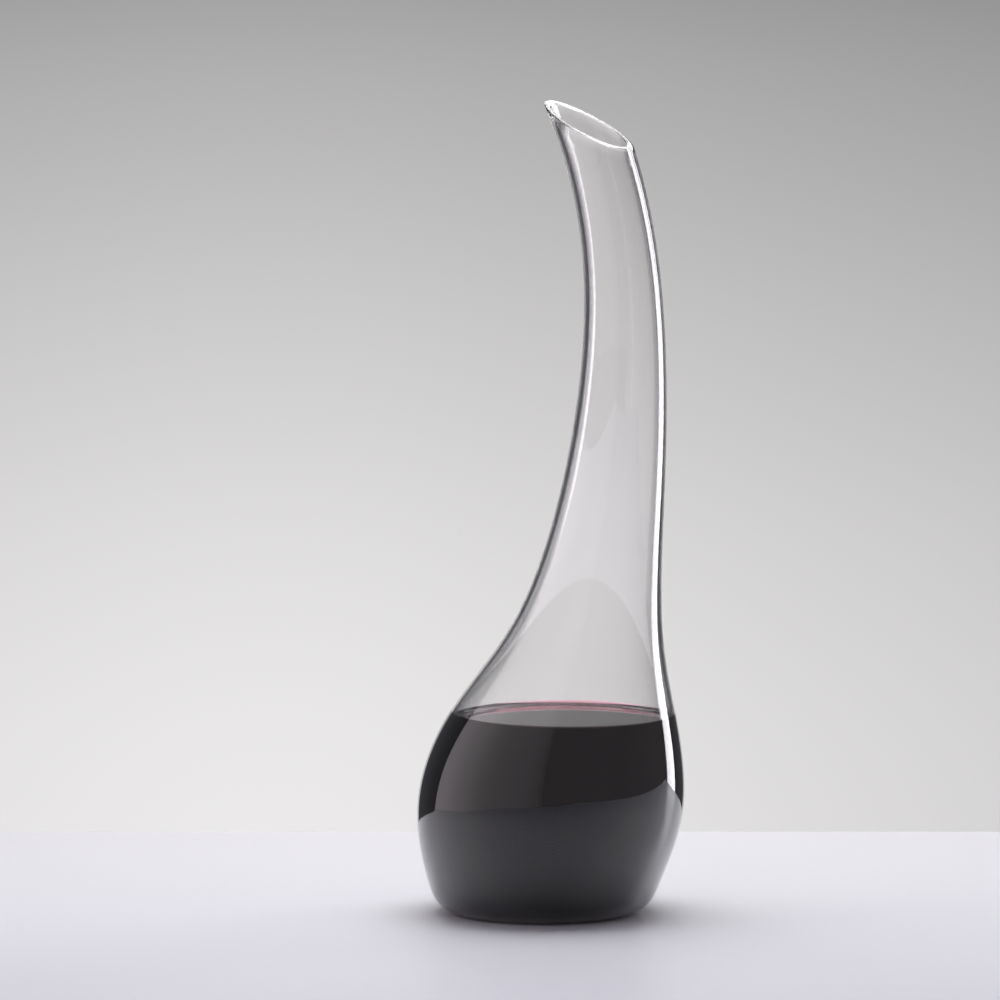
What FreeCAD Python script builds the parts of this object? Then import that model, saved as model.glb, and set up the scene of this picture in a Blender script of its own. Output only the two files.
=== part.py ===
import FreeCAD, Part
import math
import os

# A blown glass wine decanter and the wine in it, in millimetres.
# Origin: centre of the foot, on the table. +Z is up. The mouth pours towards -X.

V = FreeCAD.Vector

# The foot and the glass. The wall thickens up the neck, from the neck's start to the mouth.
FOOT_RADIUS = 36.0
PUNT_RADIUS = 30.0
PUNT_DEPTH = 2.0
WALL = 2.0
MOUTH_WALL = 2.8
NECK_START = 130.0
FLOOR = 5.0

# The outside of the glass is shaped by rings strung on a curved centre line.
# Each ring: how far its centre swings towards +X, its height, its radius.
BELLY_HEIGHT = 67.0
RINGS = (
    (0.0, 0.0, FOOT_RADIUS),
    (0.0, 0.0, 47.7),
    (0.0, 12.5, 52.5),
    (0.0, 39.0, 60.6),
    (9.7, BELLY_HEIGHT, 59.3),
    (17.8, 96.0, 47.8),
    (25.2, 127.0, 33.0),
    (34.0, 168.0, 25.4),
    (42.4, 219.0, 21.0),
    (45.1, 275.0, 17.6),
    (38.4, 326.0, 16.2),
    (22.0, 367.0, 15.4),
    (-1.9, 400.0, 13.5),
)

# The mouth is cut by a plane that crosses the foot's axis at this height and falls towards +X
MOUTH_HEIGHT = 368.9
MOUTH_SLOPE = 26.2
LIP_RADIUS = 1.0

# The level of the wine
FILL_HEIGHT = 88.6

# A block this big reaches past the whole decanter
BLOCK = 4 * MOUTH_HEIGHT

# An edge lies on the mouth's plane if this many points along it are all this close to it
POINTS_ALONG = 9
CLOSE = 0.01

# Both directions of the surfaces are cubic. Sixteen poles round a ring are round to about a micron.
DEGREE = 3
POLES_ROUND = 16
POLE_STRETCH = (math.pi / POLES_ROUND / math.sin(math.pi / POLES_ROUND)) ** (DEGREE + 1)


def neighbours(rings, index):
    """The rings before and after one ring, or the ring itself at either end."""
    return rings[max(index - 1, 0)], rings[min(index + 1, len(rings) - 1)]


def centre_line_lean(rings, index):
    """Angle of the centre line from vertical, positive towards +X."""
    before, after = neighbours(rings, index)
    return math.atan2(after[0] - before[0], after[1] - before[1])


def wall_flare(rings, index):
    """Angle at which the wall opens out from the centre line, going up."""
    before, after = neighbours(rings, index)
    along = math.hypot(after[0] - before[0], after[1] - before[1])
    return math.atan2(after[2] - before[2], along)


def wall_at(height):
    """Thickness of the wall round the ring at one height."""
    up_neck = (height - NECK_START) / (MOUTH_HEIGHT - NECK_START)
    return WALL + (MOUTH_WALL - WALL) * min(1.0, max(0.0, up_neck))


def inner_rings(rings):
    """The cavity: every ring set in by the wall, and raised over the thick floor."""
    inner = []
    for index, (swing, height, radius) in enumerate(rings):
        lean = centre_line_lean(rings, index)
        flare = wall_flare(rings, index)
        wall = wall_at(height)
        shift = wall * math.sin(flare)
        lift = (FLOOR - WALL) * max(0.0, 1.0 - height / BELLY_HEIGHT)
        height_inside = height + shift * math.cos(lean) + lift
        inner.append((
            swing + shift * math.sin(lean),
            max(FLOOR, height_inside),
            radius - wall * math.cos(flare),
        ))
    return inner


def ring_poles(ring, lean):
    """Poles of one ring, square to the centre line."""
    swing, height, radius = ring
    reach = radius * POLE_STRETCH
    poles = []
    for step in range(POLES_ROUND):
        turn = 2 * math.pi * step / POLES_ROUND
        across = reach * math.cos(turn)
        poles.append(V(
            swing + across * math.cos(lean),
            reach * math.sin(turn),
            height - across * math.sin(lean),
        ))
    return poles


def ring_surface(rings):
    """One smooth surface, closed round each ring and cubic from the first ring to the last."""
    rows = [ring_poles(ring, centre_line_lean(rings, i)) for i, ring in enumerate(rings)]
    poles = [list(column) for column in zip(*rows)]
    spans = len(rings) - DEGREE
    round_knots = list(range(POLES_ROUND + 1))
    upward_knots = list(range(spans + 1))
    upward_repeats = [DEGREE + 1] + [1] * (spans - 1) + [DEGREE + 1]
    surface = Part.BSplineSurface()
    surface.buildFromPolesMultsKnots(
        poles, [1] * len(round_knots), upward_repeats,
        round_knots, upward_knots, True, False, DEGREE, DEGREE)
    return surface


def end_cap(side, ring, lean, up):
    """The flat disc on one end ring, facing away from the solid."""
    swing, height, radius = ring
    centre = V(swing, 0, height)
    outward = V(math.sin(lean), 0, math.cos(lean)) * up
    rims = [edge for edge in side.Edges if edge.isClosed()]
    rim = min(rims, key=lambda edge: (edge.CenterOfMass - centre).Length)
    cap = Part.Face(Part.Wire(rim))
    if cap.normalAt(0, 0).dot(outward) < 0:
        cap.reverse()
    return cap


def ring_solid(rings):
    """The solid inside a ring surface, closed by a flat disc at each end.

    The heel, which is the first span of the surface, is a face of its own.
    """
    surface = ring_surface(rings)
    round_start, round_end, bottom_end, top_end = surface.bounds()
    heel = surface.toShape(round_start, round_end, bottom_end, bottom_end + 1)
    side = surface.toShape(round_start, round_end, bottom_end + 1, top_end)
    last = len(rings) - 1
    bottom = end_cap(heel, rings[0], centre_line_lean(rings, 0), -1)
    top = end_cap(side, rings[last], centre_line_lean(rings, last), 1)
    skin = Part.makeCompound([bottom, heel, side, top])
    skin.sewShape()
    return Part.makeSolid(skin.Shells[0])


def above_mouth():
    """Everything above the mouth's slanting plane."""
    block = Part.makeBox(BLOCK, BLOCK, BLOCK, V(-BLOCK / 2, -BLOCK / 2, 0))
    tilt = FreeCAD.Rotation(V(0, 1, 0), MOUTH_SLOPE)
    block.Placement = FreeCAD.Placement(V(0, 0, MOUTH_HEIGHT), tilt)
    return block


def below_fill():
    """Everything below the level of the wine."""
    return Part.makeBox(BLOCK, BLOCK, FILL_HEIGHT, V(-BLOCK / 2, -BLOCK / 2, 0))


def punt():
    """The shallow dome pressed up into the underside, which leaves a flat ring to stand on."""
    ball_radius = (PUNT_RADIUS ** 2 + PUNT_DEPTH ** 2) / (2 * PUNT_DEPTH)
    centre = V(0, 0, PUNT_DEPTH - ball_radius)
    ball = Part.makeSphere(ball_radius, centre, V(1, 0, 0))
    # Turned so that the ball's seam and poles are away from the foot
    ball.rotate(centre, V(1, 0, 0), 180)
    return ball


def lip_edges(glass):
    """The two edges of the cut mouth."""
    normal = V(math.sin(math.radians(MOUTH_SLOPE)), 0, math.cos(math.radians(MOUTH_SLOPE)))
    crossing = V(0, 0, MOUTH_HEIGHT)
    edges = []
    for edge in glass.Edges:
        points = edge.discretize(POINTS_ALONG)
        if all(abs((point - crossing).dot(normal)) < CLOSE for point in points):
            edges.append(edge)
    return edges


def cavity():
    return ring_solid(inner_rings(RINGS))


def make_vessel():
    """The glass: outside less cavity and punt, cut at the mouth, with a fire-polished lip."""
    outside = ring_solid(RINGS).cut(above_mouth())
    glass = outside.cut(cavity()).cut(punt())
    return glass.makeFillet(LIP_RADIUS, lip_edges(glass))


def make_wine():
    """The wine: the cavity up to the fill level, touching the glass all round."""
    return cavity().common(below_fill())


def single_solid(shape):
    solids = shape.Solids
    if len(solids) != 1:
        raise ValueError("expected one solid, got %d" % len(solids))
    return solids[0]


os.makedirs("parts", exist_ok=True)
single_solid(make_vessel()).exportStep("parts/vessel.step")
single_solid(make_wine()).exportStep("parts/wine.step")
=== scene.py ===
import math

import bpy
import numpy as np
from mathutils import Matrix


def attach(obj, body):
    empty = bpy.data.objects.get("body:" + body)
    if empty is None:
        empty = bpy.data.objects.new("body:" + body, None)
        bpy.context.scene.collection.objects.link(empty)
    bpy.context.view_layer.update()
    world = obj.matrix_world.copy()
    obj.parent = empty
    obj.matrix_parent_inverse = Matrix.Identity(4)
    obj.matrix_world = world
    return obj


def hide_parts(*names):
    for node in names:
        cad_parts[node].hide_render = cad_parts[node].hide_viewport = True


# A blown glass decanter of red wine on a white table, lit by soft panels in a dark studio.
# Lengths are in metres, except the decanter's own sizes, which are in millimetres.

MM = 0.001

# ---------------------------------------------------------------- the decanter

FOOT_RADIUS = 36.0
PUNT_RADIUS = 30.0
PUNT_DEPTH = 2.0
WALL = 2.0
MOUTH_WALL = 2.8
FLOOR = 5.0
BELLY_HEIGHT = 67.0
NECK_START = 130.0

# Rings of the outside, from the foot up: swing towards +X, height, radius
RINGS = (
    (0.0, 0.0, FOOT_RADIUS),
    (0.0, 0.0, 47.7),
    (0.0, 12.5, 52.5),
    (0.0, 39.0, 60.6),
    (9.7, BELLY_HEIGHT, 59.3),
    (17.8, 96.0, 47.8),
    (25.2, 127.0, 33.0),
    (34.0, 168.0, 25.4),
    (42.4, 219.0, 21.0),
    (45.1, 275.0, 17.6),
    (38.4, 326.0, 16.2),
    (22.0, 367.0, 15.4),
    (-1.9, 400.0, 13.5),
)

# The mouth's plane: where it crosses the foot's axis, and how steeply it falls towards +X
MOUTH_HEIGHT = 368.9
MOUTH_SLOPE = math.radians(26.2)
LIP_DEPTH = 1.0

# The wine: its level, how far it climbs the glass, the length that sets how quickly that fades,
# and how far its side is sunk into the glass so that no air gap shows
WINE_LEVEL = 88.6
WINE_CLIMB = 2.4
CAPILLARY_LENGTH = 1.8
WINE_SINK = 0.06

# The wine's surface is a skin this thin
SKIN_DEPTH = 0.04

# The height of the raised edge at which the wine's surface counts as flat
FLAT_CLIMB = 0.02

# How finely the meshes are divided
COLUMNS = 192
WALL_ROWS = 120
WET_ROWS = 48
LIP_ROWS = 12
FOOT_ROWS = 3
FLAT_ROWS = 10
MENISCUS_ROWS = 24

# Edges that bend by more than this are shaded as creases
SHARP_ANGLE = math.radians(40.0)

# The walls are curves of this degree between the rings
DEGREE = 3

# Halving a wall's climb this often pins down where it meets a plane
HALVINGS = 50

# Which of a piece's materials a face wears, in the order the piece lists them
FIRST_MATERIAL = 0
SECOND_MATERIAL = 1


def neighbours(rings, index):
    """The rings before and after one ring, or the ring itself at either end."""
    return rings[max(index - 1, 0)], rings[min(index + 1, len(rings) - 1)]


def centre_line_lean(rings, index):
    """Angle of the centre line from vertical, positive towards +X."""
    before, after = neighbours(rings, index)
    return math.atan2(after[0] - before[0], after[1] - before[1])


def wall_flare(rings, index):
    """Angle at which the wall opens out from the centre line, going up."""
    before, after = neighbours(rings, index)
    along = math.hypot(after[0] - before[0], after[1] - before[1])
    return math.atan2(after[2] - before[2], along)


def wall_at(height):
    """The wall thickens steadily up the neck, from the shoulder to the mouth."""
    up_neck = (height - NECK_START) / (MOUTH_HEIGHT - NECK_START)
    return WALL + (MOUTH_WALL - WALL) * min(1.0, max(0.0, up_neck))


def inner_rings():
    """The cavity: every ring set in by the wall, and raised over the thick floor."""
    inner = []
    for index, (swing, height, radius) in enumerate(RINGS):
        lean = centre_line_lean(RINGS, index)
        flare = wall_flare(RINGS, index)
        wall = wall_at(height)
        shift = wall * math.sin(flare)
        lift = (FLOOR - WALL) * max(0.0, 1.0 - height / BELLY_HEIGHT)
        height_inside = height + shift * math.cos(lean) + lift
        inner.append((
            swing + shift * math.sin(lean),
            max(FLOOR, height_inside),
            radius - wall * math.cos(flare),
        ))
    return inner


def ring_shares(climb, count):
    """How much each ring counts at a climb between 0, the first ring, and count - DEGREE, the last."""
    spans = count - DEGREE
    knots = [0.0] * DEGREE + list(range(spans + 1)) + [spans] * DEGREE
    span = np.clip(np.floor(climb), 0, spans - 1)
    shares = [(span == knots[i]) * (knots[i + 1] > knots[i]) * 1.0 for i in range(len(knots) - 1)]
    for degree in range(1, DEGREE + 1):
        blended = []
        for i in range(len(shares) - 1):
            rise = knots[i + degree] - knots[i]
            fall = knots[i + degree + 1] - knots[i + 1]
            share = np.zeros_like(climb)
            if rise > 0:
                share = share + (climb - knots[i]) / rise * shares[i]
            if fall > 0:
                share = share + (knots[i + degree + 1] - climb) / fall * shares[i + 1]
            blended.append(share)
        shares = blended
    return np.stack(shares, axis=-1)


def wall_points(rings, climb, turn):
    """Points on the smooth wall strung over the rings, in millimetres."""
    leans = np.array([centre_line_lean(rings, i) for i in range(len(rings))])
    swing, height, radius = np.array(rings).T
    shares = ring_shares(climb, len(rings))
    x = shares @ swing + (shares @ (radius * np.cos(leans))) * np.cos(turn)
    y = (shares @ radius) * np.sin(turn)
    z = shares @ height - (shares @ (radius * np.sin(leans))) * np.cos(turn)
    return np.stack([x, y, z], axis=-1)


def turns():
    """The angles of the mesh's columns, once round the decanter."""
    return 2 * np.pi * np.arange(COLUMNS) / COLUMNS


def climb_to_plane(rings, normal, level):
    """For each turn round the wall, the climb at which it meets a plane, found by halving."""
    turn = turns()
    low = np.zeros_like(turn)
    high = np.full_like(turn, len(rings) - DEGREE)
    for _ in range(HALVINGS):
        middle = (low + high) / 2
        below = wall_points(rings, middle, turn) @ normal < level
        low = np.where(below, middle, low)
        high = np.where(below, high, middle)
    return (low + high) / 2


def wall_rows(rings, start, end, count):
    """Rows of points up a wall, from the climbs in start to the climbs in end."""
    steps = np.linspace(0.0, 1.0, count + 1)[:, None]
    climb = start + (end - start) * steps
    return wall_points(rings, climb, np.broadcast_to(turns(), climb.shape))


def flat_rows(inner_radius, outer_radius, height, count):
    """Rows of level rings round the foot's axis."""
    radius = np.linspace(inner_radius, outer_radius, count + 1)[:, None]
    turn = turns()
    x = radius * np.cos(turn)
    y = radius * np.sin(turn)
    return np.stack([x, y, np.full_like(x, height)], axis=-1)


def punt_rows():
    """Rows over the shallow dome under the foot, from near its centre to its rim."""
    rows = flat_rows(PUNT_RADIUS / FLAT_ROWS, PUNT_RADIUS, 0.0, FLAT_ROWS - 1)
    share = (rows[..., 0] ** 2 + rows[..., 1] ** 2) / PUNT_RADIUS ** 2
    rows[..., 2] = PUNT_DEPTH * (1.0 - share)
    return rows


def floor_rows():
    """Rows over the cavity's floor, from near its centre to where its wall starts."""
    return flat_rows(FOOT_RADIUS / FLAT_ROWS, FOOT_RADIUS, FLOOR, FLAT_ROWS - 1)


def mouth_normal():
    """The direction that the mouth faces."""
    return np.array([math.sin(MOUTH_SLOPE), 0.0, math.cos(MOUTH_SLOPE)])


def mouth_end(rings):
    """The climbs at which a wall stops, just short of the mouth's plane."""
    normal = mouth_normal()
    return climb_to_plane(rings, normal, MOUTH_HEIGHT * normal[2] - LIP_DEPTH)


def contact_climb():
    """The climbs at which the wine's edge meets the inside of the glass."""
    up = np.array([0.0, 0.0, 1.0])
    return climb_to_plane(inner_rings(), up, WINE_LEVEL + WINE_CLIMB)


def wetted_rows():
    """Rows up the inside of the glass, from the floor to the wine's edge."""
    return wall_rows(inner_rings(), np.zeros(COLUMNS), contact_climb(), WET_ROWS)


def headings(rows):
    """Unit steps along each column at the last row."""
    step = rows[-1] - rows[-2]
    return step / np.linalg.norm(step, axis=-1, keepdims=True)


def lip_rows(outside, inside):
    """Rows over the rounded lip, from the last row of the outer wall to that of the inner wall."""
    steps = np.linspace(0.0, 1.0, LIP_ROWS + 1)[1:-1, None, None]
    normal = mouth_normal()
    outer_heading = headings(outside)
    inner_heading = headings(inside)
    # A curve with handles a third longer than the way to the mouth's plane just touches it
    reach = LIP_DEPTH * 4 / 3
    outer_handle = outside[-1] + outer_heading * (reach / (outer_heading @ normal))[:, None]
    inner_handle = inside[-1] + inner_heading * (reach / (inner_heading @ normal))[:, None]
    return ((1 - steps) ** 3 * outside[-1] + 3 * (1 - steps) ** 2 * steps * outer_handle
            + 3 * (1 - steps) * steps ** 2 * inner_handle + steps ** 3 * inside[-1])


def skin_mesh(name, rows, first_centre, last_centre, slot_of_row):
    """A closed mesh over rows of rings, with a centre point at each end."""
    count = len(rows)
    vertices = [tuple(np.array(point) * MM) for row in rows for point in row]
    first = len(vertices)
    last = first + 1
    vertices.append(tuple(np.array(first_centre) * MM))
    vertices.append(tuple(np.array(last_centre) * MM))
    faces = []
    slots = []
    for column in range(COLUMNS):
        after = (column + 1) % COLUMNS
        faces.append((first, after, column))
        slots.append(slot_of_row(0))
        for row in range(count - 1):
            here = row * COLUMNS
            above = here + COLUMNS
            faces.append((here + column, here + after, above + after, above + column))
            slots.append(slot_of_row(row))
        top = (count - 1) * COLUMNS
        faces.append((top + column, top + after, last))
        slots.append(slot_of_row(count - 1))
    mesh = bpy.data.meshes.new(name)
    mesh.from_pydata(vertices, [], faces)
    mesh.polygons.foreach_set("material_index", slots)
    mesh.polygons.foreach_set("use_smooth", [True] * len(faces))
    mesh.update()
    mesh.set_sharp_from_angle(angle=SHARP_ANGLE)
    return mesh


def add_object(name, mesh, materials):
    """A mesh placed in the scene with its materials."""
    thing = bpy.data.objects.new(name, mesh)
    bpy.context.scene.collection.objects.link(thing)
    for material in materials:
        mesh.materials.append(material)
    return thing


def make_vessel():
    """The glass in one closed skin: under the foot, up the outside, over the lip, down the inside."""
    inner = inner_rings()
    foot = flat_rows(PUNT_RADIUS, FOOT_RADIUS, 0.0, FOOT_ROWS)[1:-1]
    outside = wall_rows(RINGS, np.zeros(COLUMNS), mouth_end(RINGS), WALL_ROWS)
    inside_dry = wall_rows(inner, contact_climb(), mouth_end(inner), WALL_ROWS - WET_ROWS)
    lip = lip_rows(outside, inside_dry)
    dry = np.concatenate([punt_rows(), foot, outside, lip, inside_dry[::-1]])
    wet = np.concatenate([wetted_rows()[::-1][1:], floor_rows()[::-1][1:]])
    last_dry = len(dry) - 1
    mesh = skin_mesh(
        "vessel_glass", np.concatenate([dry, wet]), (0, 0, PUNT_DEPTH), (0, 0, FLOOR),
        lambda row: FIRST_MATERIAL if row < last_dry else SECOND_MATERIAL)
    vessel = add_object("vessel_glass", mesh, [dry_glass(), wet_glass()])
    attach(vessel, "root")
    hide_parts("vessel")


def outward(rows):
    """Unit directions out of a wall, from its rows and columns."""
    along = np.gradient(rows, axis=0)
    round_step = np.roll(rows, -1, axis=1) - np.roll(rows, 1, axis=1)
    normal = np.cross(round_step, along)
    return normal / np.linalg.norm(normal, axis=-1, keepdims=True)


def meniscus_reach(height):
    """How far from a plane wall a liquid's surface stands at a height over its level."""
    limit = 2 * CAPILLARY_LENGTH
    return CAPILLARY_LENGTH * np.arccosh(limit / height) - np.sqrt(limit ** 2 - height ** 2)


def surface_rows(edge):
    """Rows over the top of the wine, from its edge on the glass in to near the middle."""
    centre = edge.mean(axis=0)
    centre[2] = WINE_LEVEL
    inward = (centre - edge)[..., :2]
    inward = inward / np.linalg.norm(inward, axis=-1, keepdims=True)
    rows = []
    for step in np.linspace(0.0, 1.0, MENISCUS_ROWS + 1)[1:]:
        height = WINE_CLIMB * (1 - step) + FLAT_CLIMB * step
        reach = meniscus_reach(height) - meniscus_reach(WINE_CLIMB)
        row = edge.copy()
        row[:, :2] += inward * reach
        row[:, 2] = WINE_LEVEL + height
        rows.append(row)
    flat_edge = rows[-1]
    for step in np.linspace(0.0, 1.0, FLAT_ROWS + 1)[1:-1]:
        rows.append(flat_edge * (1 - step) + centre * step)
    return np.array(rows), centre


def lowered(points, depth):
    """One point or many, moved down by a depth."""
    return points - np.array([0.0, 0.0, depth])


def make_wine():
    """The body of the wine in one closed skin: up the side of the glass, then in under its surface."""
    side = wetted_rows()
    top, centre = surface_rows(side[-1])
    sunk_floor = lowered(floor_rows(), WINE_SINK)
    sunk_side = side + outward(side) * WINE_SINK
    sunk_side[-1] = lowered(sunk_side[-1], SKIN_DEPTH / 2)
    rows = np.concatenate([sunk_floor[:-1], sunk_side, lowered(top, SKIN_DEPTH / 2)])
    mesh = skin_mesh(
        "wine_fill", rows, (0, 0, FLOOR - WINE_SINK), lowered(centre, SKIN_DEPTH / 2),
        lambda row: FIRST_MATERIAL)
    wine = add_object("wine_fill", mesh, [wine_body()])
    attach(wine, "root")
    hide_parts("wine")


def make_wine_surface():
    """The wine's surface, with its raised edge, as a thin closed skin that bends and mirrors light."""
    side = wetted_rows()
    rim = side[-1] + outward(side)[-1] * WINE_SINK
    top, centre = surface_rows(side[-1])
    upper = np.concatenate([rim[None], top])
    lower = lowered(upper, SKIN_DEPTH)
    last_lower = len(lower) - 1
    mesh = skin_mesh(
        "wine_surface", np.concatenate([lower[::-1], upper]), lowered(centre, SKIN_DEPTH), centre,
        lambda row: SECOND_MATERIAL if row < last_lower else FIRST_MATERIAL)
    surface = add_object("wine_surface", mesh, [wine_open_face(), wine_hidden_face()])
    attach(surface, "root")


# ---------------------------------------------------------------- materials

GLASS_IOR = 1.52
WINE_IOR = 1.345
GLASS_TINT = (0.998, 0.995, 0.999, 1.0)
WHITE = (1.0, 1.0, 1.0, 1.0)

# What the wine lets through, and how thickly it colours light
WINE_COLOUR = (0.82, 0.0, 0.19, 1.0)
WINE_DENSITY = 1100.0

# The glass's unevenness: about how many waves to a metre, how many layers of finer waves ride on
# them, and how high they stand
WAVE_SCALE = 45.0
WAVE_DETAIL = 1.0
WAVE_HEIGHT = 0.00003

# How much coat the glass has, from facing the viewer (0) to edge-on (1). A blend of one half
# keeps the steps between the two even.
SHEEN_STOPS = ((0.0, 0.0), (0.13, 0.43), (0.28, 0.83), (0.5, 1.0), (0.65, 0.95), (0.8, 0.7), (1.0, 0.3))
SHEEN_SPAN = (0.0, 1.0)
EVEN_BLEND = 0.5


def new_material(name):
    """A material with its nodes, its links and its Principled shader."""
    material = bpy.data.materials.new(name)
    material.use_nodes = True
    nodes = material.node_tree.nodes
    return material, nodes, material.node_tree.links, nodes["Principled BSDF"]


def clear_shader(shader, ior, tint):
    """Makes a shader see-through and perfectly smooth."""
    shader.inputs["Base Color"].default_value = tint
    shader.inputs["Roughness"].default_value = 0.0
    shader.inputs["Transmission Weight"].default_value = 1.0
    shader.inputs["IOR"].default_value = ior


def add_waviness(nodes, links, shader):
    """Gentle unevenness of blown glass, as a bump."""
    place = nodes.new("ShaderNodeTexCoord")
    noise = nodes.new("ShaderNodeTexNoise")
    noise.inputs["Scale"].default_value = WAVE_SCALE
    noise.inputs["Detail"].default_value = WAVE_DETAIL
    bump = nodes.new("ShaderNodeBump")
    bump.inputs["Strength"].default_value = 1.0
    bump.inputs["Distance"].default_value = WAVE_HEIGHT
    links.new(place.outputs["Object"], noise.inputs["Vector"])
    links.new(noise.outputs["Fac"], bump.inputs["Height"])
    links.new(bump.outputs["Normal"], shader.inputs["Normal"])


def graded(nodes, links, value, stops, span):
    """A strength that follows a value through stops of (value, strength), within a span of values."""
    low, high = span
    spread = nodes.new("ShaderNodeMapRange")
    spread.inputs["From Min"].default_value = low
    spread.inputs["From Max"].default_value = high
    curve = nodes.new("ShaderNodeFloatCurve")
    points = curve.mapping.curves[0].points
    highest = max(strength for _, strength in stops)
    while len(points) < len(stops):
        points.new(0.5, 0.5)
    for point, (place, strength) in zip(points, stops):
        point.location = ((place - low) / (high - low), strength / highest)
        point.handle_type = "AUTO_CLAMPED"
    curve.mapping.update()
    scale = nodes.new("ShaderNodeMath")
    scale.operation = "MULTIPLY"
    scale.inputs[1].default_value = highest
    links.new(value, spread.inputs["Value"])
    links.new(spread.outputs["Result"], curve.inputs["Value"])
    links.new(curve.outputs["Value"], scale.inputs[0])
    return scale.outputs["Value"]


def add_slant_sheen(nodes, links, shader):
    """A coat that strengthens what the glass mirrors at a slant, as upright polarised light does."""
    slant = nodes.new("ShaderNodeLayerWeight")
    slant.inputs["Blend"].default_value = EVEN_BLEND
    weight = graded(nodes, links, slant.outputs["Facing"], SHEEN_STOPS, SHEEN_SPAN)
    links.new(weight, shader.inputs["Coat Weight"])
    shader.inputs["Coat IOR"].default_value = GLASS_IOR
    shader.inputs["Coat Roughness"].default_value = 0.0


def dry_glass():
    """Glass with air against it."""
    material, nodes, links, shader = new_material("glass_dry")
    clear_shader(shader, GLASS_IOR, GLASS_TINT)
    add_slant_sheen(nodes, links, shader)
    add_waviness(nodes, links, shader)
    return material


def wet_glass():
    """Glass with wine against it, which bends light much less than glass in air."""
    material, nodes, links, shader = new_material("glass_wetted")
    clear_shader(shader, GLASS_IOR / WINE_IOR, GLASS_TINT)
    add_waviness(nodes, links, shader)
    return material


def wine_body():
    """The wine where glass holds it: the glass does the bending of light there."""
    material, nodes, links, shader = new_material("wine_in_glass")
    clear_shader(shader, 1.0, WHITE)
    depth = nodes.new("ShaderNodeVolumeAbsorption")
    depth.inputs["Color"].default_value = WINE_COLOUR
    depth.inputs["Density"].default_value = WINE_DENSITY
    output = next(node for node in nodes if node.type == "OUTPUT_MATERIAL")
    links.new(depth.outputs["Volume"], output.inputs["Volume"])
    return material


def wine_open_face():
    """The top of the wine's skin, where wine meets air."""
    material, _, _, shader = new_material("wine_open_face")
    clear_shader(shader, WINE_IOR, WHITE)
    return material


def wine_hidden_face():
    """The underside of the wine's skin, where wine meets wine."""
    material, _, _, shader = new_material("wine_hidden_face")
    clear_shader(shader, 1.0, WHITE)
    return material


# ---------------------------------------------------------------- the studio

# Angles round the decanter are measured from the camera in degrees, positive to the right seen
# from it. The studio turns with the camera, so that every view has the same light.
# A panel's glow follows stops of (place, strength), where a place is a height, a distance aside
# or an angle without its sign. A span is the stretch of places that the stops are set out in.

TABLE_BEHIND = 0.252
TABLE_FRONT = -0.68
TABLE_LEFT = -0.74
TABLE_RIGHT_BEHIND = 0.665
TABLE_RIGHT_FRONT = 0.26
# The table's colour runs from painted shade in front, darker and bluer, to its own white behind
TABLE_SHADED_FRONT_COLOUR = (0.765, 0.777, 0.90, 1.0)
TABLE_COLOUR_BEHIND = (0.83, 0.826, 0.865, 1.0)
TABLE_ROUGHNESS = 0.35

# The table's top is this far under the foot, so that the two don't share a plane
TABLE_DROP = 0.0001

BACKDROP_DISTANCE = 2.0
BACKDROP_HALF_WIDTH = 0.73
BACKDROP_LOW = -1.6
BACKDROP_HIGH = 1.2
BACKDROP_COLOUR = (1.0, 0.985, 0.985, 1.0)
BACKDROP_SPAN = (-1.0, 1.0)
BACKDROP_UPWARD = (
    (-1.0, 0.86), (-0.4, 0.84), (-0.23, 0.83), (-0.082, 0.77), (0.067, 0.66),
    (0.285, 0.47), (0.5, 0.27), (1.0, 0.1),
)
BACKDROP_ACROSS = (
    (-BACKDROP_HALF_WIDTH, 0.8), (-0.35, 0.97), (-0.18, 1.0), (0.0, 0.955), (0.236, 0.86),
    (0.354, 0.81), (BACKDROP_HALF_WIDTH, 0.6),
)

# The bent panels all start at this height, and have a facet for every so many degrees
PANEL_LOW = -0.6
DEGREES_PER_STEP = 2

# What the left softbox and the right room share
SIDE_SPAN = (0.0, 120.0)
SIDE_COLOUR = (1.0, 0.92, 0.98, 1.0)

SOFTBOX_DISTANCE = 1.9
SOFTBOX_HIGH = 1.9
SOFTBOX_FRONT = -10.0
SOFTBOX_BACK = -118.0
SOFTBOX_ROUND = (
    (-SOFTBOX_FRONT, 0.46), (22.0, 0.68), (36.0, 0.72), (50.0, 0.70), (65.0, 0.74),
    (81.0, 0.85), (100.0, 0.88), (-SOFTBOX_BACK, 0.72),
)

STRIP_DISTANCE = 1.3
STRIP_HIGH = 1.3
STRIP_FRONT = 116.5
STRIP_BACK = 131.5
STRIP_COLOUR = (0.97, 0.95, 1.0, 1.0)
STRIP_ROUND_SPAN = (110.0, 140.0)
STRIP_ROUND = ((STRIP_FRONT, 0.4), (117.7, 3.5), (128.0, 3.6), (STRIP_BACK, 3.9))
STRIP_UPWARD_SPAN = (-1.0, 1.5)
STRIP_UPWARD = ((PANEL_LOW, 0.5), (-0.2, 0.9), (0.05, 1.25), (0.4, 1.0), (STRIP_HIGH, 0.9))

ROOM_DISTANCE = 4.2
ROOM_HIGH = 3.8
ROOM_ROUND = ((0.0, 0.42), (40.0, 0.36), (60.0, 0.29), (90.0, 0.22), (110.0, 0.16), (STRIP_FRONT, 0.1))

OVERHEAD_STRENGTH = 5.25
OVERHEAD_HALF_WIDTH = 0.4
OVERHEAD_FRONT = -0.15
OVERHEAD_BACK = 0.55
OVERHEAD_HEIGHT = 0.95

RIM_STRENGTH = 2.6
RIM_LEFT = -0.9
RIM_RIGHT = 1.6
RIM_FRONT = 0.6
RIM_BACK = 1.5
RIM_HEIGHT = 0.9

DARK_ROOM_COLOUR = (0.078, 0.076, 0.086, 1.0)


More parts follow.
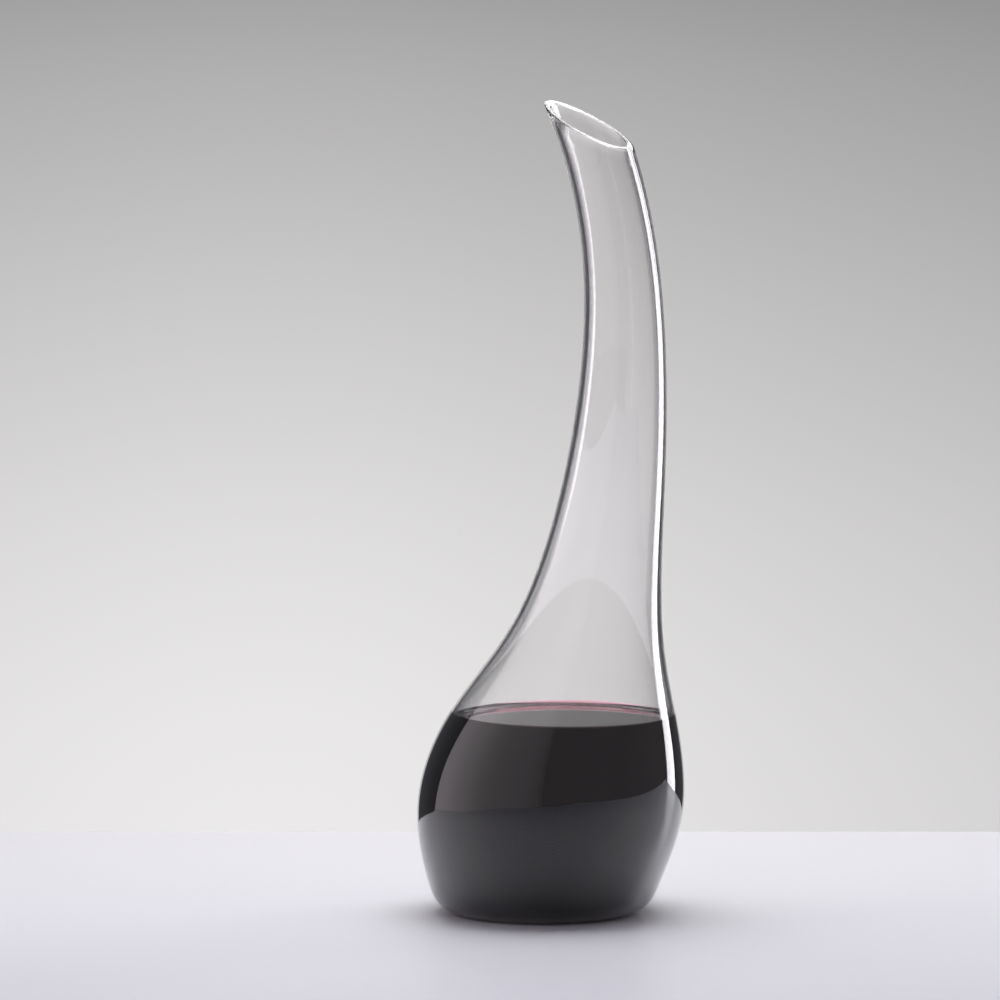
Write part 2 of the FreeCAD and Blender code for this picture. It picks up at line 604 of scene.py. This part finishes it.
def glow_material(name, colour=WHITE):
    """A material that only gives off light, with its nodes, its links and its glow."""
    material = bpy.data.materials.new(name)
    material.use_nodes = True
    nodes = material.node_tree.nodes
    links = material.node_tree.links
    nodes.clear()
    output = nodes.new("ShaderNodeOutputMaterial")
    glow = nodes.new("ShaderNodeEmission")
    glow.inputs["Color"].default_value = colour
    links.new(glow.outputs["Emission"], output.inputs["Surface"])
    return material, nodes, links, glow


def even_glow(name, strength):
    """A glow of the same strength all over."""
    material, _, _, glow = glow_material(name)
    glow.inputs["Strength"].default_value = strength
    return material


def product(nodes, links, first, second):
    """Two values multiplied."""
    both = nodes.new("ShaderNodeMath")
    both.operation = "MULTIPLY"
    links.new(first, both.inputs[0])
    links.new(second, both.inputs[1])
    return both.outputs["Value"]


def own_place(nodes, links):
    """Where a point is, in its object's own X, Y and Z."""
    place = nodes.new("ShaderNodeTexCoord")
    split = nodes.new("ShaderNodeSeparateXYZ")
    links.new(place.outputs["Object"], split.inputs["Vector"])
    return split.outputs


def panel_angle(nodes, links):
    """The angle round the decanter from the camera, in degrees, without its sign."""
    place = own_place(nodes, links)
    behind = nodes.new("ShaderNodeMath")
    behind.operation = "MULTIPLY"
    behind.inputs[1].default_value = -1.0
    turn = nodes.new("ShaderNodeMath")
    turn.operation = "ARCTAN2"
    size = nodes.new("ShaderNodeMath")
    size.operation = "ABSOLUTE"
    degrees = nodes.new("ShaderNodeMath")
    degrees.operation = "DEGREES"
    links.new(place["Y"], behind.inputs[0])
    links.new(place["X"], turn.inputs[0])
    links.new(behind.outputs["Value"], turn.inputs[1])
    links.new(turn.outputs["Value"], size.inputs[0])
    links.new(size.outputs["Value"], degrees.inputs[0])
    return degrees.outputs["Value"]


def side_glow(name, stops):
    """A glow that changes only with the angle round the decanter."""
    material, nodes, links, glow = glow_material(name, SIDE_COLOUR)
    strength = graded(nodes, links, panel_angle(nodes, links), stops, SIDE_SPAN)
    links.new(strength, glow.inputs["Strength"])
    return material


def stage_mesh(name, vertices, faces, material, studio):
    """One object of the stage, hung on the studio."""
    mesh = bpy.data.meshes.new(name)
    mesh.from_pydata(vertices, [], faces)
    mesh.update()
    thing = add_object(name, mesh, [material])
    thing.parent = studio
    return thing


def arc_panel(name, distance, first, last, high, material, studio):
    """An upright panel bent round the decanter between two angles from the camera."""
    steps = int(abs(last - first) / DEGREES_PER_STEP)
    vertices = []
    faces = []
    for step in range(steps + 1):
        angle = math.radians(first + (last - first) * step / steps)
        x = distance * math.sin(angle)
        y = -distance * math.cos(angle)
        vertices += [(x, y, PANEL_LOW), (x, y, high)]
    for step in range(steps):
        corner = 2 * step
        faces.append((corner, corner + 2, corner + 3, corner + 1))
    stage_mesh(name, vertices, faces, material, studio)


def level_panel(name, left, right, front, back, height, material, studio):
    """A level panel over the decanter."""
    vertices = [
        (left, front, height),
        (right, front, height),
        (right, back, height),
        (left, back, height),
    ]
    return stage_mesh(name, vertices, [(0, 1, 2, 3)], material, studio)


def make_table(studio):
    """A white table with a soft sheen, wider behind than in front, with painted shade that makes it darker
    and bluer towards the camera.
    """
    material, nodes, links, shader = new_material("table_white")
    place = own_place(nodes, links)
    share = nodes.new("ShaderNodeMapRange")
    share.inputs["From Min"].default_value = TABLE_FRONT
    share.inputs["From Max"].default_value = TABLE_BEHIND
    # Painted shade: the colour grows darker and bluer towards the camera
    colours = nodes.new("ShaderNodeMix")
    colours.data_type = "RGBA"
    colours.inputs["A"].default_value = TABLE_SHADED_FRONT_COLOUR
    colours.inputs["B"].default_value = TABLE_COLOUR_BEHIND
    links.new(place["Y"], share.inputs["Value"])
    links.new(share.outputs["Result"], colours.inputs["Factor"])
    links.new(colours.outputs["Result"], shader.inputs["Base Color"])
    shader.inputs["Roughness"].default_value = TABLE_ROUGHNESS
    vertices = [
        (TABLE_LEFT, TABLE_FRONT, -TABLE_DROP),
        (TABLE_RIGHT_FRONT, TABLE_FRONT, -TABLE_DROP),
        (TABLE_RIGHT_BEHIND, TABLE_BEHIND, -TABLE_DROP),
        (TABLE_LEFT, TABLE_BEHIND, -TABLE_DROP),
    ]
    stage_mesh("table", vertices, [(0, 1, 2, 3)], material, studio)


def make_backdrop(studio):
    """A pale backdrop, brighter towards its foot and just left of its middle."""
    material, nodes, links, glow = glow_material("backdrop_glow", BACKDROP_COLOUR)
    place = own_place(nodes, links)
    by_height = graded(nodes, links, place["Z"], BACKDROP_UPWARD, BACKDROP_SPAN)
    by_side = graded(nodes, links, place["X"], BACKDROP_ACROSS, BACKDROP_SPAN)
    links.new(product(nodes, links, by_height, by_side), glow.inputs["Strength"])
    vertices = [
        (-BACKDROP_HALF_WIDTH, BACKDROP_DISTANCE, BACKDROP_LOW),
        (BACKDROP_HALF_WIDTH, BACKDROP_DISTANCE, BACKDROP_LOW),
        (BACKDROP_HALF_WIDTH, BACKDROP_DISTANCE, BACKDROP_HIGH),
        (-BACKDROP_HALF_WIDTH, BACKDROP_DISTANCE, BACKDROP_HIGH),
    ]
    stage_mesh("backdrop", vertices, [(0, 1, 2, 3)], material, studio)


def make_left_softbox(studio):
    """A tall softbox, from beside the camera round the left."""
    material = side_glow("left_softbox_glow", SOFTBOX_ROUND)
    arc_panel("left_softbox", SOFTBOX_DISTANCE, SOFTBOX_FRONT, SOFTBOX_BACK, SOFTBOX_HIGH, material, studio)


def make_right_strip(studio):
    """A bright strip behind on the right, which fades in along its front side and dims at its foot."""
    material, nodes, links, glow = glow_material("right_strip_glow", STRIP_COLOUR)
    by_angle = graded(nodes, links, panel_angle(nodes, links), STRIP_ROUND, STRIP_ROUND_SPAN)
    by_height = graded(nodes, links, own_place(nodes, links)["Z"], STRIP_UPWARD, STRIP_UPWARD_SPAN)
    links.new(product(nodes, links, by_angle, by_height), glow.inputs["Strength"])
    arc_panel("right_strip", STRIP_DISTANCE, STRIP_FRONT, STRIP_BACK, STRIP_HIGH, material, studio)


def make_right_room(studio):
    """The dim room on the right, darker towards the back."""
    material = side_glow("right_room_glow", ROOM_ROUND)
    arc_panel("right_room", ROOM_DISTANCE, SOFTBOX_FRONT, STRIP_FRONT, ROOM_HIGH, material, studio)


def make_overhead_softbox(studio):
    """The main light, over the decanter and a little behind it."""
    level_panel("overhead_softbox", -OVERHEAD_HALF_WIDTH, OVERHEAD_HALF_WIDTH, OVERHEAD_FRONT,
                OVERHEAD_BACK, OVERHEAD_HEIGHT, even_glow("overhead_glow", OVERHEAD_STRENGTH), studio)


def make_rim_softbox(studio):
    """A wide panel high behind the decanter, which whitens its rim but lights nothing matt."""
    panel = level_panel("rim_softbox", RIM_LEFT, RIM_RIGHT, RIM_FRONT, RIM_BACK, RIM_HEIGHT,
                        even_glow("rim_glow", RIM_STRENGTH), studio)
    panel.visible_diffuse = False


def make_studio(camera):
    """The stage, hung on an empty that turns about the upright axis with the camera."""
    studio = bpy.data.objects.new("studio", None)
    bpy.context.scene.collection.objects.link(studio)
    follow = studio.constraints.new("COPY_ROTATION")
    follow.target = camera
    follow.use_x = False
    follow.use_y = False
    make_table(studio)
    make_backdrop(studio)
    make_left_softbox(studio)
    make_right_strip(studio)
    make_right_room(studio)
    make_overhead_softbox(studio)
    make_rim_softbox(studio)


def make_world():
    """What shows past the panels."""
    world = bpy.data.worlds.new("dark_room")
    world.use_nodes = True
    world.node_tree.nodes["Background"].inputs["Color"].default_value = DARK_ROOM_COLOUR
    bpy.context.scene.world = world


# ---------------------------------------------------------------- the camera

# The camera stands in front of the foot's axis, a little aside, turned this far from -Y
CAMERA_TURN = math.radians(35.0)
CAMERA_DROP = math.radians(5.446)
CAMERA_DISTANCE = 3.1
CAMERA_ASIDE = -0.0195
CAMERA_HEIGHT = 0.4826

# The lens and the sensor's width, in millimetres
CAMERA_LENS = 248.65
CAMERA_SENSOR = 36.0

# How often light may bend or mirror on its way through the glass
MAX_BOUNCES = 32
TRANSMISSION_BOUNCES = 28
GLOSSY_BOUNCES = 16


def make_camera():
    """A long lens that looks slightly down on the decanter."""
    data = bpy.data.cameras.new("camera")
    data.lens = CAMERA_LENS
    data.sensor_width = CAMERA_SENSOR
    camera = bpy.data.objects.new("camera", data)
    bpy.context.scene.collection.objects.link(camera)
    camera.location = (
        CAMERA_DISTANCE * math.sin(CAMERA_TURN) + CAMERA_ASIDE * math.cos(CAMERA_TURN),
        -CAMERA_DISTANCE * math.cos(CAMERA_TURN) + CAMERA_ASIDE * math.sin(CAMERA_TURN),
        CAMERA_HEIGHT,
    )
    camera.rotation_euler = (math.pi / 2 - CAMERA_DROP, 0.0, CAMERA_TURN)
    bpy.context.scene.camera = camera
    return camera


def set_up_view():
    """Plain colours, a clean picture and enough bounces for thick glass."""
    scene = bpy.context.scene
    scene.view_settings.view_transform = "Standard"
    scene.cycles.use_denoising = True
    scene.cycles.max_bounces = MAX_BOUNCES
    scene.cycles.transmission_bounces = TRANSMISSION_BOUNCES
    scene.cycles.glossy_bounces = GLOSSY_BOUNCES


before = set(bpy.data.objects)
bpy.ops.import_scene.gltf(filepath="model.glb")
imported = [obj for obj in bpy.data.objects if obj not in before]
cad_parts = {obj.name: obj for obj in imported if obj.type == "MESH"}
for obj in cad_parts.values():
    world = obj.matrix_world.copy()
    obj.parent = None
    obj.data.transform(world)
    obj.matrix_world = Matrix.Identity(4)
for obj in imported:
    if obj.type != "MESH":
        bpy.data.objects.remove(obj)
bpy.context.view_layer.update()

make_vessel()
make_wine()
make_wine_surface()
make_world()
make_studio(make_camera())
set_up_view()
